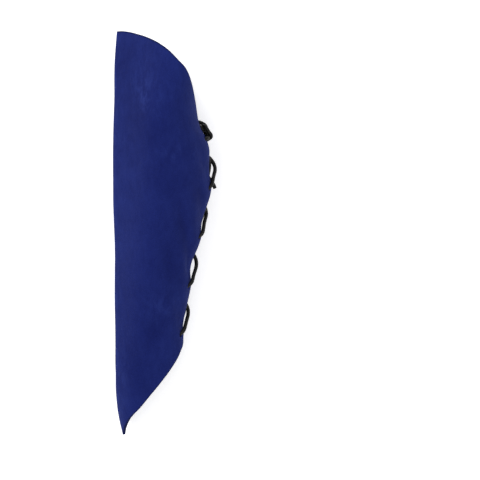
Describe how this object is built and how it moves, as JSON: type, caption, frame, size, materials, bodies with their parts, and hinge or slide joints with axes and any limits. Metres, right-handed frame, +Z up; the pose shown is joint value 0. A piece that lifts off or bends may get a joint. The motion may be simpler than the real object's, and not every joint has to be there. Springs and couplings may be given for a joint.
{
  "type": "arm bracer",
  "caption": "Long suede arm bracer with a ridge down the front, a peak at the elbow, a tongue over the hand and a laced back, lying on its side.",
  "frame": {"origin": "middle of the bracer's footprint, on the surface it lies on", "axes": "+Y along the forearm towards the elbow, +X towards the laced back, +Z up from the side it lies on"},
  "size_m": [0.0856, 0.3302, 0.0893],
  "materials": {
    "suede": "deep blue suede with a short nap",
    "cord": "black round leather cord, slightly waxed"
  },
  "bodies": {
    "root": {"leather_shell": "suede", "lace": "cord", "lace_end": "cord"}
  },
  "joints": []
}
